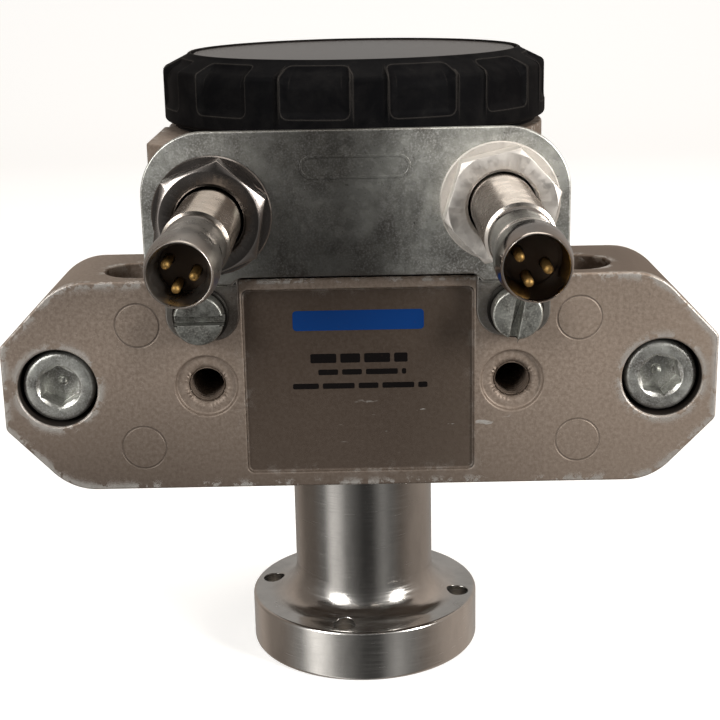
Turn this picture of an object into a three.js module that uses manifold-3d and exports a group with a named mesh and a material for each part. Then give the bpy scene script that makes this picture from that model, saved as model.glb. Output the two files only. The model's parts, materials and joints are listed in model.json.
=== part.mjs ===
// Vane-type rotary pneumatic actuator with a flanged output, two proximity sensors and a ribbed cover.
// Millimetres. +Z is up along the output shaft. The origin is the centre of the output flange's
// lower face. The port face looks along -Y.

import * as THREE from "three";
import { mergeVertices } from "three/addons/utils/BufferGeometryUtils.js";
import Module from "manifold-3d";

const wasm = await Module();
wasm.setup();

// ---------------------------------------------------------------- driving dimensions
const FACE_GAP = 0.1; // between flat faces that touch
const FIT_GAP = 0.3; // around round fits and between turned pieces

const FRONT_Y = -28; // port face
const ROW_Z = 49.3; // height of the mounting screws and ports

const EAR_HALF_LENGTH = 47.3;
const EAR_HALF_HEIGHT = 14.3;
const EAR_DEPTH = 18.6;
const EAR_CORNER_X = 35.6; // centre of the round between the top edge and the 45 degree edge
const EAR_CORNER_R = 8;
const EAR_HOLE = { x: 29.05, y: FRONT_Y + 7.5, r: 4.8 };
const MOUNT_SCREW_X = 40;
const COUNTERBORE = { r: 5.3, depth: 7.1 };
const MOUNT_SCREW = { r: 3, length: 16, headR: 4.85, headHeight: 6, flats: 5 };
const PORT = { x: 20.2, bore: 2.1, chamfer: 2.75, spotface: 4.1, spotDepth: 0.6 };
const LABEL = { halfWidth: 15.1, low: -12.2, high: 12.8, depth: 0.4 };

const BODY_HALF = 27.2; // square body
const BODY_CORNER_R = 4;
const BODY_Z0 = ROW_Z - EAR_HALF_HEIGHT;
const BODY_Z1 = ROW_Z + EAR_HALF_HEIGHT;

const CHAMBER = { r: 21.5, z0: 43.5 };
const SHAFT_R = 6;
const SEAT_R = 11.3; // lower bearing seat
const SEAT_Z = 36.2;

const DECK_Z0 = BODY_Z1 + FACE_GAP; // upper housing: square deck with a round wall on it
const DECK_Z1 = 67.9;
const WALL = { r: 26.8, inner: 23.5, z1: 80.8 };
const LUG = { x: -27.2, y: -26.6, chamfer: 3.6 };
const HOUSING_SCREW = { r: 2, headR: 3.5, headHeight: 4, length: 25.4 };
const HOUSING_SCREW_FRONT = [14, -22.6];
const HOUSING_SCREW_BACK = [19.6, 19.6];

const STOP_Z = { low: 77, high: 80.5 };
const STOP_SCREW = { circle: 21.25, angle: 52, r: 0.8, headR: 1.3 };
const LOBE_R = 18.7;

const COVER = { r: 27.2, z0: 81, band: 88.9, z1: 91.05, rim: 23.5 };
const COVER_WINDOW = { count: 12, phase: -130.7, span: 20, z0: 83.5, depth: 0.55 };

const FLANGE = { r: 17.5, z1: 7.85, holeR: 1.65, holeCircle: 14.8, holeAngle: 78 };
const STEM = { r: 10.6, z1: 34.9, fillet: 4.5 };
const HUB_SCREW = { r: 1.9, z: 22 };
const SHAFT_Z0 = 8.9;
const SHAFT_Z1 = 85;

const BRACKET = { half: 27.1, z0: 64.4, z1: 83, corner: 8, sheet: 1.5, step: 1.1 };
const FOOT = { x: 20.15, half: 4.8, z0: 55.9, z1: 67 };
const NECK = { inner: 16.5, z0: 63.5 };
const FOOT_SCREW = { x: 20.3, z: ROW_Z + 10.2, headR: 3.25, headHeight: 2.6, washerR: 3.65 };

const SENSOR = { x: 18.15, r: 4, length: 53.1, plugLength: 14.5 };
const SENSOR_SIDES = [
  { side: "left", x: -SENSOR.x, z: 72.6, tip: -66.2, nutTurn: 40 },
  { side: "right", x: SENSOR.x, z: 73.7, tip: -71.1, nutTurn: 47 },
];
const NUT = { flats: 13, thick: 3.8 };
const LOCK_WASHER = { r: 7.6, thick: 0.6 };

const VANE_ANGLE = 78; // where the vane points in the position that is modelled
const VANE_HALF_ANGLE = 13;
const SEPARATOR_HALF_ANGLE = 58;

// ---------------------------------------------------------------- materials
const paint = (color, roughness, metalness) => ({ color, roughness, metalness });
const CAST = paint(0x8b7d72, 0.5, 0.45);
const ZINC = paint(0x8d9590, 0.45, 0.8);
const NICKEL = paint(0xb9b4ac, 0.22, 1);
const STEEL = paint(0xa9a7a3, 0.32, 1);
const BLACK_STEEL = paint(0x24231f, 0.5, 0.6);
const BRONZE = paint(0x9c7a4a, 0.4, 0.9);
const GOLD = paint(0xc39a4c, 0.3, 1);
const INSERT = paint(0x2b1c10, 0.5, 0);
const RUBBER = paint(0x161616, 0.8, 0);
const BLACK_PLASTIC = paint(0x1b1a1b, 0.55, 0);
const GLOSS_PLASTIC = paint(0x3a2c25, 0.15, 0);

// ---------------------------------------------------------------- helpers
const rad = THREE.MathUtils.degToRad;

function polar(radius, degrees) {
  return [radius * Math.cos(rad(degrees)), radius * Math.sin(rad(degrees))];
}

function arc(cx, cy, radius, from, to, steps) {
  const points = [];
  for (let i = 0; i <= steps; i += 1) {
    const [dx, dy] = polar(radius, from + ((to - from) * i) / steps);
    points.push([cx + dx, cy + dy]);
  }
  return points;
}

function shape(points) {
  return new THREE.Shape(points.map(([x, y]) => new THREE.Vector2(x, y)));
}

// An outline in XY, raised from z0 to z1.
function upright(points, z0, z1) {
  const geometry = new THREE.ExtrudeGeometry(shape(points), { depth: z1 - z0, bevelEnabled: false });
  return geometry.translate(0, 0, z0);
}

// An outline drawn in XZ as seen from the front, running from y0 back to y1.
function fromFront(points, y0, y1) {
  const geometry = new THREE.ExtrudeGeometry(shape(points), { depth: y1 - y0, bevelEnabled: false });
  return geometry.rotateX(Math.PI / 2).translate(0, y1, 0);
}

// A closed [radius, height] profile turned about the Z axis, listed anticlockwise.
function turned(profile, segments) {
  const closed = [...profile, profile[0]];
  const points = closed.map(([r, z]) => new THREE.Vector2(r, z));
  return new THREE.LatheGeometry(points, segments).rotateX(Math.PI / 2);
}

function ring(inner, outer, z0, z1, segments) {
  return turned([[inner, z0], [outer, z0], [outer, z1], [inner, z1]], segments);
}

function rodZ(radius, z0, z1, x = 0, y = 0, segments = 16) {
  const geometry = new THREE.CylinderGeometry(radius, radius, z1 - z0, segments);
  return geometry.rotateX(Math.PI / 2).translate(x, y, (z0 + z1) / 2);
}

function rodY(radius, y0, y1, x, z, segments = 16, backRadius = radius) {
  const geometry = new THREE.CylinderGeometry(backRadius, radius, y1 - y0, segments);
  return geometry.translate(x, (y0 + y1) / 2, z);
}

function block(x0, x1, y0, y1, z0, z1) {
  const geometry = new THREE.BoxGeometry(x1 - x0, y1 - y0, z1 - z0);
  return geometry.translate((x0 + x1) / 2, (y0 + y1) / 2, (z0 + z1) / 2);
}

function sector(inner, outer, middle, half, z0, z1, steps = 8) {
  const outside = arc(0, 0, outer, middle - half, middle + half, steps);
  const inside = arc(0, 0, inner, middle + half, middle - half, steps);
  return upright([...outside, ...inside], z0, z1);
}

function roundedRect(x0, x1, y0, y1, r, steps = 5) {
  return [
    ...arc(x1 - r, y0 + r, r, -90, 0, steps),
    ...arc(x1 - r, y1 - r, r, 0, 90, steps),
    ...arc(x0 + r, y1 - r, r, 90, 180, steps),
    ...arc(x0 + r, y0 + r, r, 180, 270, steps),
  ];
}

function hexagon(flats, turn) {
  return arc(0, 0, flats / Math.sqrt(3), turn, turn + 300, 5);
}

function toSolid(source) {
  const bare = source.clone();
  for (const name of ["normal", "uv"]) bare.deleteAttribute(name);
  const merged = mergeVertices(bare, 1e-4);
  const index = merged.index.array;
  const triangles = [];
  for (let i = 0; i < index.length; i += 3) {
    const [a, b, c] = [index[i], index[i + 1], index[i + 2]];
    if (a !== b && b !== c && c !== a) triangles.push(a, b, c);
  }
  const vertProperties = new Float32Array(merged.attributes.position.array);
  const triVerts = new Uint32Array(triangles);
  return new wasm.Manifold(new wasm.Mesh({ numProp: 3, vertProperties, triVerts }));
}

function toGeometry(solid) {
  const result = solid.getMesh();
  const geometry = new THREE.BufferGeometry();
  const positions = new Float32Array(result.vertProperties);
  geometry.setAttribute("position", new THREE.BufferAttribute(positions, 3));
  geometry.setIndex(new THREE.BufferAttribute(new Uint32Array(result.triVerts), 1));
  return geometry;
}

function join(...geometries) {
  const solids = geometries.map(toSolid);
  return toGeometry(solids.reduce((sum, next) => sum.add(next)));
}

function cut(base, ...tools) {
  return toGeometry(tools.reduce((left, tool) => left.subtract(toSolid(tool)), toSolid(base)));
}

const actuator = new THREE.Group();

function add(name, geometry, finish, place = {}) {
  const flat = geometry.index ? geometry.toNonIndexed() : geometry.clone();
  flat.deleteAttribute("uv");
  flat.computeVertexNormals();
  const mesh = new THREE.Mesh(flat, new THREE.MeshStandardMaterial(finish));
  mesh.name = name;
  mesh.position.set(place.x ?? 0, place.y ?? 0, place.z ?? 0);
  mesh.rotation.z = rad(place.turn ?? 0);
  actuator.add(mesh);
}

const SIDES = [["left", -1], ["right", 1]];

// ---------------------------------------------------------------- main housing
function earOutline() {
  const top = EAR_HALF_HEIGHT;
  const endHigh = top - EAR_CORNER_R * (1 - Math.SQRT1_2);
  const cornerX = EAR_CORNER_X + EAR_CORNER_R * Math.SQRT1_2;
  const endZ = endHigh - (EAR_HALF_LENGTH - cornerX);
  const quarter = [
    [EAR_HALF_LENGTH, endZ],
    ...arc(EAR_CORNER_X, top - EAR_CORNER_R, EAR_CORNER_R, 45, 90, 4),
  ];
  const mirrored = (sx, sz) => quarter.map(([x, z]) => [sx * x, ROW_Z + sz * z]);
  return [
    ...mirrored(1, 1),
    ...mirrored(-1, 1).reverse(),
    ...mirrored(-1, -1),
    ...mirrored(1, -1).reverse(),
  ];
}

function mountingHoles(sign) {
  const x = sign * MOUNT_SCREW_X;
  const shelf = FRONT_Y + COUNTERBORE.depth;
  return [
    rodY(COUNTERBORE.r, FRONT_Y - 1, shelf, x, ROW_Z, 28),
    rodY(3.3, shelf - 1, FRONT_Y + EAR_DEPTH + 1, x, ROW_Z),
    rodZ(EAR_HOLE.r, BODY_Z0 - 1, BODY_Z1 + 1, sign * EAR_HOLE.x, EAR_HOLE.y, 28),
  ];
}

function portHoles(sign) {
  const x = sign * PORT.x;
  const seat = FRONT_Y + PORT.spotDepth;
  const chamferDepth = PORT.chamfer - PORT.bore;
  return [
    rodY(PORT.spotface, FRONT_Y - 1, seat, x, ROW_Z, 24),
    rodY(PORT.chamfer, seat - 0.01, seat + chamferDepth, x, ROW_Z, 16, PORT.bore),
    rodY(PORT.bore, FRONT_Y, -5, x, ROW_Z, 16),
  ];
}

function footScrewHole(sign) {
  return rodY(2.2, FRONT_Y - 1, FRONT_Y + 8.5, sign * FOOT_SCREW.x, FOOT_SCREW.z);
}

const HOUSING_SCREW_PLACES = [HOUSING_SCREW_FRONT, HOUSING_SCREW_BACK].flatMap(
  ([x, y]) => [[-x, y], [x, y]],
);
const HOUSING_SCREW_SEAT = BODY_Z0 + HOUSING_SCREW.headHeight + 0.6;

function mainHousing() {
  const back = roundedRect(-BODY_HALF, BODY_HALF, FRONT_Y + 8, BODY_HALF, BODY_CORNER_R);
  const casting = join(
    fromFront(earOutline(), FRONT_Y, FRONT_Y + EAR_DEPTH),
    upright(back, BODY_Z0, BODY_Z1),
  );
  const label = roundedRect(
    -LABEL.halfWidth, LABEL.halfWidth, ROW_Z + LABEL.low, ROW_Z + LABEL.high, 0.8, 2,
  );
  const tools = [
    rodZ(CHAMBER.r, CHAMBER.z0, BODY_Z1 + 1, 0, 0, 40),
    rodZ(SEAT_R, SEAT_Z, CHAMBER.z0 + 1, 0, 0, 28),
    rodZ(SHAFT_R + 1, BODY_Z0 - 1, SEAT_Z + 1, 0, 0, 24),
    fromFront(label, FRONT_Y - 1, FRONT_Y + LABEL.depth),
  ];
  for (const [, sign] of SIDES) {
    tools.push(...mountingHoles(sign), ...portHoles(sign), footScrewHole(sign));
    tools.push(rodZ(1.3, CHAMBER.z0 - 4, CHAMBER.z0 + 1, ...polar(16, sign * 30 - 90), 12));
  }
  for (const [x, y] of HOUSING_SCREW_PLACES) {
    tools.push(rodZ(HOUSING_SCREW.r + FIT_GAP, BODY_Z0, BODY_Z1 + 1, x, y, 12));
    tools.push(rodZ(HOUSING_SCREW.headR + FIT_GAP, BODY_Z0 - 1, HOUSING_SCREW_SEAT, x, y, 20));
  }
  return cut(casting, ...tools);
}

// ---------------------------------------------------------------- upper housing
function lugOutline() {
  const { x, y, chamfer } = LUG;
  return [[x, -4], [x, y + chamfer + 0.9], [x + chamfer, y], [-9, y], [-9, -4]];
}

function upperHousing() {
  const deck = roundedRect(-BODY_HALF, BODY_HALF, FRONT_Y + 1, BODY_HALF, BODY_CORNER_R);
  const casting = join(
    upright(deck, DECK_Z0, DECK_Z1),
    rodZ(WALL.r, DECK_Z0 + 1, WALL.z1, 0, 0, 56),
    upright(lugOutline(), DECK_Z0 + 1, WALL.z1),
  );
  const tools = [
    rodZ(WALL.inner, DECK_Z1, WALL.z1 + 1, 0, 0, 48),
    rodZ(9.3, DECK_Z0 - 1, 67, 0, 0, 24),
    rodZ(SHAFT_R + 1, 66, DECK_Z1 + 1, 0, 0, 24),
  ];
  for (const sensor of SENSOR_SIDES) {
    tools.push(rodY(SENSOR.r + 0.5, FRONT_Y, -9, sensor.x, sensor.z, 20));
  }
  const screwEnd = HOUSING_SCREW_SEAT + HOUSING_SCREW.length - 0.1;
  for (const [x, y] of HOUSING_SCREW_PLACES) {
    tools.push(rodZ(HOUSING_SCREW.r + FIT_GAP, DECK_Z0 - 1, screwEnd + 0.6, x, y, 12));
  }
  for (const [, sign] of SIDES) {
    const [x, y] = polar(STOP_SCREW.circle, 90 - sign * STOP_SCREW.angle);
    tools.push(rodZ(STOP_SCREW.r + FIT_GAP, DECK_Z1 - 3, DECK_Z1 + 1, x, y, 14));
  }
  return cut(casting, ...tools);
}

// ---------------------------------------------------------------- fasteners on the port face
function socketScrew(r, length, headR, headHeight, flats, turn, segments) {
  const profile = [
    [0, 0], [headR - 0.7, 0], [headR, 0.7], [headR, headHeight], [r, headHeight],
    [r, length + headHeight - 0.6], [r - 0.6, length + headHeight], [0, length + headHeight],
  ];
  const body = turned(profile, segments);
  const socket = upright(hexagon(flats, turn), -1, headHeight * 0.55);
  return cut(body, socket).rotateX(-Math.PI / 2);
}

// A screw of the same kind with its head down and its shank pointing up.
function housingScrews() {
  const { r, headR, headHeight, length } = HOUSING_SCREW;
  HOUSING_SCREW_PLACES.forEach(([x, y], i) => {
    const geometry = socketScrew(r, length, headR, headHeight, 3, 30, 16).rotateX(Math.PI / 2);
    add(`housing_screw_${i + 1}`, geometry, ZINC, { x, y, z: HOUSING_SCREW_SEAT - headHeight - 0.1 });
  });
}

function mountingScrews() {
  for (const [side, sign] of SIDES) {
    const { r, length, headR, headHeight, flats } = MOUNT_SCREW;
    const geometry = socketScrew(r, length, headR, headHeight, flats, sign < 0 ? 30 : 18, 28);
    const headFront = FRONT_Y + COUNTERBORE.depth - headHeight - FACE_GAP;
    const place = { x: sign * MOUNT_SCREW_X, y: headFront, z: ROW_Z };
    add(`mounting_screw_${side}`, geometry, ZINC, place);
  }
}

function slottedScrew(turn) {
  const { headR, headHeight } = FOOT_SCREW;
  const body = turned(
    [[0, 10], [0, 0], [headR - 0.3, 0], [headR, 0.3], [headR, headHeight], [1.9, headHeight], [1.9, 10]],
    24,
  );
  const slot = block(-4, 4, -0.6, 0.6, -1, 1.2).rotateZ(rad(turn));
  return cut(body, slot).rotateX(-Math.PI / 2);
}

function bracketFasteners() {
  for (const [side, sign] of SIDES) {
    const face = FRONT_Y - FACE_GAP - BRACKET.sheet;
    const place = { x: sign * FOOT_SCREW.x, z: FOOT_SCREW.z };
    const washer = ring(2.2, FOOT_SCREW.washerR, 0, 0.9, 20).rotateX(-Math.PI / 2);
    add(`bracket_washer_${side}`, washer, BLACK_STEEL, { ...place, y: face - 1 });
    const turn = sign < 0 ? 0 : 100;
    const headFront = face - 1.1 - FOOT_SCREW.headHeight;
    add(`bracket_screw_${side}`, slottedScrew(turn), ZINC, { ...place, y: headFront });
  }
}

// ---------------------------------------------------------------- sensor bracket
function bracketPanelOutline() {
  const { half, z0, z1, corner } = BRACKET;
  const side = (sign) => [
    [sign * (NECK.inner - 1.7), z0],
    [sign * (NECK.inner - 0.4), z0 - 0.5],
    [sign * NECK.inner, z0 - 1.6],
    [sign * NECK.inner, NECK.z0],
    [sign * (half - 2.6), NECK.z0],
    [sign * (half - 0.7), NECK.z0 + 0.9],
    [sign * half, NECK.z0 + 2.6],
    ...arc(sign * (half - corner), z1 - corner, corner, sign > 0 ? 0 : 180, 90, 6),
  ];
  return [...side(1), ...side(-1).reverse()];
}

function sensorBracket() {
  const back = FRONT_Y - FACE_GAP;
  const panelBack = back - BRACKET.step;
  let sheet = fromFront(bracketPanelOutline(), panelBack - BRACKET.sheet, panelBack);
  for (const [, sign] of SIDES) {
    const x = sign * FOOT.x;
    const outline = roundedRect(x - FOOT.half, x + FOOT.half, FOOT.z0, FOOT.z1, 3.4);
    sheet = join(sheet, fromFront(outline, back - BRACKET.sheet, back));
    const hole = rodY(2.2, back - BRACKET.sheet - 1, back + 1, sign * FOOT_SCREW.x, FOOT_SCREW.z);
    sheet = cut(sheet, hole);
  }
  for (const { x, z } of SENSOR_SIDES) {
    sheet = cut(sheet, rodY(SENSOR.r + FIT_GAP, panelBack - 5, panelBack + 1, x, z, 24));
  }
  return sheet;
}

// ---------------------------------------------------------------- sensors, from the plug end backwards
function plugShell() {
  const r = SENSOR.r;
  const back = SENSOR.plugLength;
  const bore = 3.15;
  return turned(
    [
      [bore, 1.1], [3.5, 0], [3.75, 0.15], [3.92, 0.6], [r, 1.3], [r, 6.6], [3.6, 8.3], [3.55, back - 0.7],
      [3.7, back], [bore, back],
    ],
    24,
  );
}

function sensorNodes({ side, x, z, tip }) {
  const lay = (geometry) => geometry.rotateX(-Math.PI / 2);
  const at = (offset) => ({ x, z, y: tip + offset });
  const r = SENSOR.r;
  const start = SENSOR.plugLength + FACE_GAP;
  const barrel = turned([[0, SENSOR.length], [0, start], [r - 0.3, start], [r, start + 0.3],
    [r, SENSOR.length]], 24);
  add(`sensor_barrel_${side}`, lay(barrel), NICKEL, at(0));
  add(`plug_shell_${side}`, lay(plugShell()), NICKEL, at(0));
  const bed = 5.2;
  const pins = [[-1.55, 0.75], [1.35, -0.55], [-0.6, -1.85]];
  const holes = pins.map(([px, pz]) => rodZ(0.7, bed - 1, bed + 3, px, -pz, 8));
  const insert = cut(rodZ(3, bed, SENSOR.plugLength, 0, 0, 20), ...holes);
  add(`sensor_insert_${side}`, lay(insert), INSERT, at(0));
  pins.forEach(([px, pz], i) => {
    const pin = turned([[0, bed + 2.6], [0, 1.5], [0.25, 1.5], [0.5, 1.9], [0.5, bed + 2.6]], 8);
    add(`sensor_pin_${side}_${i + 1}`, lay(pin), GOLD, { x: x + px, z: z + pz, y: tip });
  });
}

function nutOnSensor({ side, x, z, nutTurn }) {
  const panelFront = FRONT_Y - FACE_GAP - BRACKET.step - BRACKET.sheet;
  const washerFront = panelFront - FACE_GAP - LOCK_WASHER.thick;
  const nutFront = washerFront - FACE_GAP - NUT.thick;
  const washer = ring(SENSOR.r + FIT_GAP, LOCK_WASHER.r, 0, LOCK_WASHER.thick, 32);
  add(`lock_washer_${side}`, washer.rotateX(-Math.PI / 2), NICKEL, { x, z, y: washerFront });
  const corner = NUT.flats / Math.sqrt(3);
  const dome = turned([[0, NUT.thick], [0, 0], [6.3, 0], [corner, 0.75], [corner, NUT.thick - 0.5],
    [6.8, NUT.thick]], 24);
  const prism = upright(hexagon(NUT.flats, nutTurn), -1, NUT.thick + 1);
  const blank = toGeometry(toSolid(dome).intersect(toSolid(prism)));
  const nut = cut(blank, rodZ(SENSOR.r + FIT_GAP, -1, NUT.thick + 1, 0, 0, 24));
  add(`sensor_nut_${side}`, nut.rotateX(-Math.PI / 2), NICKEL, { x, z, y: nutFront });
  const clinch = ring(SENSOR.r + FIT_GAP, 5.6, 0, 1.4, 24).rotateX(-Math.PI / 2);
  add(`clinch_nut_${side}`, clinch, ZINC, { x, z, y: FRONT_Y - BRACKET.step + 0.1 });
}

// ---------------------------------------------------------------- chamber: bearings, seals, separator
function chamberParts() {
  const bore = SHAFT_R + FIT_GAP;
  add("lower_bearing", ring(bore, SEAT_R - FIT_GAP, SEAT_Z + 0.1, 40.8, 28), BRONZE);
  add("lower_shaft_seal", ring(bore, SEAT_R - FIT_GAP, 41, CHAMBER.z0 - 0.2, 28), RUBBER);
  add("upper_shaft_seal", ring(bore, 9, DECK_Z0 + 0.2, 64.9, 24), RUBBER);
  add("upper_bearing", ring(bore, 9, 65.1, 66.9, 24), BRONZE);
  const outer = CHAMBER.r - FIT_GAP;
  const low = CHAMBER.z0 + 0.1;
  const high = BODY_Z1 - 0.2;
  const body = sector(11.2, outer, -90, SEPARATOR_HALF_ANGLE, low, high, 14);
  const tools = [block(-1.3, 1.3, -13.5, -10, low - 1, high + 1)];
  for (const [, sign] of SIDES) tools.push(rodZ(1.3, low - 1, low + 4, ...polar(16, sign * 30 - 90), 12));
  add("separator", cut(body, ...tools), CAST);
  add("separator_seal", block(-1, 1, -13.3, -10.9, low, high), RUBBER);
  SIDES.forEach(([side, sign]) => {
    const pin = rodZ(1, CHAMBER.z0 - 3.7, low + 3.7, ...polar(16, sign * 30 - 90), 12);
    add(`separator_pin_${side}`, pin, STEEL);
  });
}

// ---------------------------------------------------------------- adjustable end stops
function stopParts() {
  const { circle, angle, r, headR } = STOP_SCREW;
  const { low, high } = STOP_Z;
  SIDES.forEach(([side, sign]) => {
    const away = (degrees) => 90 - sign * degrees; // measured from the back, towards this side
    const [x, y] = polar(circle, away(angle));
    const column = sector(19.3, WALL.inner - FIT_GAP, away(angle), 13, DECK_Z1 + 0.1, high, 5);
    const nose = sector(13.5, 19.4, away(60), 9, low, high, 4);
    const hole = rodZ(r + FIT_GAP, DECK_Z1 - 1, high + 1, x, y, 14);
    const headSeat = rodZ(headR + FIT_GAP, high - 1.7, high + 1, x, y, 14);
    add(`end_stop_${side}`, cut(join(column, nose), hole, headSeat), STEEL);
    const pad = sector(14.4, 18.4, away(72), 2.6, low + 0.3, high - 0.3, 2);
    add(`stop_buffer_${side}`, pad, RUBBER);
    const screw = join(
      rodZ(r, DECK_Z1 - 2.6, high - 1.5, 0, 0, 14),
      rodZ(headR, high - 1.6, high - 0.1, 0, 0, 20),
    );
    const driven = cut(screw, upright(hexagon(1.3, 0), high - 0.9, high + 1));
    add(`stop_screw_${side}`, driven, ZINC, { x, y });
  });
}

// ---------------------------------------------------------------- cover
function cover() {
  const { r, z0, band, z1, rim } = COVER;
  const profile = [
    [0, 88], [21.8, 88], [21.8, z0 + 3], [22.9, z0 + 1], [22.9, z0], [r - 1.4, z0], [r - 1.2, z0 + 0.6],
    [r, z0 + 1], [r, band], [rim, z1], [rim - 0.6, z1], [rim - 0.9, z1 - 1.5], [0, z1 - 1.5],
  ];
  const windows = [];
  for (let i = 0; i < COVER_WINDOW.count; i += 1) {
    const middle = COVER_WINDOW.phase + (i * 360) / COVER_WINDOW.count;
    const half = COVER_WINDOW.span / 2;
    windows.push(sector(r - COVER_WINDOW.depth, r + 2, middle, half, COVER_WINDOW.z0, band - 0.8, 2));
  }
  return cut(turned(profile, 48), ...windows);
}

// ---------------------------------------------------------------- rotor
function outputHub() {
  const f = STEM.fillet;
  const [r, top] = [FLANGE.r, FLANGE.z1];
  const fillet = arc(STEM.r + f, top + f, f, 270, 180, 4);
  const profile = [
    [0, 0], [r - 0.8, 0], [r, 0.8], [r, top - 0.6], [r - 0.6, top], ...fillet,
    [STEM.r, STEM.z1], [0, STEM.z1],
  ];
  const tools = [
    rodZ(SHAFT_R + FIT_GAP, 8.6, STEM.z1 + 1, 0, 0, 28),
    rodY(HUB_SCREW.r + FIT_GAP, 7, STEM.r + 1, 0, HUB_SCREW.z).rotateZ(rad(FLANGE.holeAngle - 90)),
    block(4, SHAFT_R + 1.8, -1.7, 1.7, 12, STEM.z1 + 1).rotateZ(rad(FLANGE.holeAngle)),
  ];
  for (let i = 0; i < 4; i += 1) {
    const [x, y] = polar(FLANGE.holeCircle, FLANGE.holeAngle + 90 * i);
    tools.push(rodZ(FLANGE.holeR, -1, FLANGE.z1 + 5, x, y, 14));
  }
  return cut(turned(profile, 44), ...tools);
}

function driveShaft() {
  const tools = [
    block(4, SHAFT_R + 1, -1.7, 1.7, 13.5, 30).rotateZ(rad(FLANGE.holeAngle)),
    block(4, SHAFT_R + 1, -1.7, 1.7, 46, 61).rotateZ(rad(VANE_ANGLE)),
    rodY(1.3, -8, 8, 0, 78.75, 12).rotateZ(rad(VANE_ANGLE)),
    ring(SHAFT_R - 0.7, SHAFT_R + 1, 82, 83.1, 28),
  ];
  return cut(rodZ(SHAFT_R, SHAFT_Z0, SHAFT_Z1, 0, 0, 28), ...tools);
}

function vane() {
  const low = CHAMBER.z0 + 0.3;
  const high = BODY_Z1 - 0.3;
  const hub = ring(SHAFT_R + FIT_GAP, 10.6, low, high, 28);
  const blade = sector(10, 19.8, VANE_ANGLE, VANE_HALF_ANGLE, low, high, 5);
  const keyway = block(4, SHAFT_R + 1.8, -1.7, 1.7, low - 1, high + 1).rotateZ(rad(VANE_ANGLE));
  const groove = sector(18.4, 21, VANE_ANGLE, 4.5, low - 1, high + 1, 2);
  return cut(join(hub, blade), keyway, groove);
}

function vaneSeal() {
  const low = CHAMBER.z0 + 0.3;
  const high = BODY_Z1 - 0.3;
  return join(
    sector(18.6, 20.1, VANE_ANGLE, 3.8, low, high, 2),
    sector(20, CHAMBER.r - 0.3, VANE_ANGLE, VANE_HALF_ANGLE, low, high, 5),
  );
}

// The set screw in the stem that bears on the key.
function hubSetScrew() {
  const { r, z } = HUB_SCREW;
  const socket = fromFront(hexagon(2, 0), STEM.r - 1.7, STEM.r + 1).translate(0, 0, z);
  return cut(rodY(r, SHAFT_R + 1.8, STEM.r - 0.3, 0, z), socket).rotateZ(rad(FLANGE.holeAngle - 90));
}

function stopLever() {
  const { low, high } = STOP_Z;
  const arm = sector(9, 18.6, VANE_ANGLE + 180, 15, low, high, 4);
  const hub = ring(SHAFT_R + FIT_GAP, 10.2, low, high, 28);
  const pinHole = rodY(1.3, -11, 11, 0, 78.75, 12).rotateZ(rad(VANE_ANGLE));
  return cut(join(hub, arm), pinHole);
}

function tripCam(middle, z0, z1) {
  return join(ring(SHAFT_R + FIT_GAP, 11.5, z0, z1, 28), sector(11, LOBE_R, middle, 9, z0, z1, 4));
}

function circlip() {
  const clip = sector(SHAFT_R - 0.4, 8.2, VANE_ANGLE, 158, 82.2, 82.9, 18);
  return clip;
}

function rotorParts() {
  add("output_hub", outputHub(), STEEL);
  add("drive_shaft", driveShaft(), STEEL);
  add("hub_key", block(4.2, SHAFT_R + 1.5, -1.4, 1.4, 13.8, 29.7).rotateZ(rad(FLANGE.holeAngle)), STEEL);
  add("hub_set_screw", hubSetScrew(), BLACK_STEEL);
  add("vane", vane(), CAST);
  add("vane_seal", vaneSeal(), RUBBER);
  add("vane_key", block(4.2, SHAFT_R + 1.5, -1.4, 1.4, 46.3, 60.7).rotateZ(rad(VANE_ANGLE)), STEEL);
  add("stop_lever", stopLever(), STEEL);
  add("lever_pin", rodY(1, -10.1, 10.1, 0, 78.75, 12).rotateZ(rad(VANE_ANGLE)), STEEL);
  add("circlip", circlip(), BLACK_STEEL);
  add("trip_cam_right", tripCam(39.3, 69, 72.6), STEEL);
  add("trip_cam_left", tripCam(116.7, 72.9, 76.6), STEEL);
}

add("main_housing", mainHousing(), CAST);
add("upper_housing", upperHousing(), CAST);
housingScrews();
mountingScrews();
add("sensor_bracket", sensorBracket(), ZINC);
bracketFasteners();
for (const sensor of SENSOR_SIDES) {
  sensorNodes(sensor);
  nutOnSensor(sensor);
}
chamberParts();
stopParts();
add("cover", cover(), BLACK_PLASTIC);
add("cover_disc", rodZ(COVER.rim - 1.2, COVER.z1 - 1.4, COVER.z1 - 0.5, 0, 0, 40), GLOSS_PLASTIC);
rotorParts();

export default actuator;
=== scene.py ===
"""Looks of a rotary pneumatic actuator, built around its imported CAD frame."""

import json
import math
import random

import bmesh
import bpy
from mathutils import Matrix, Vector


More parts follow.
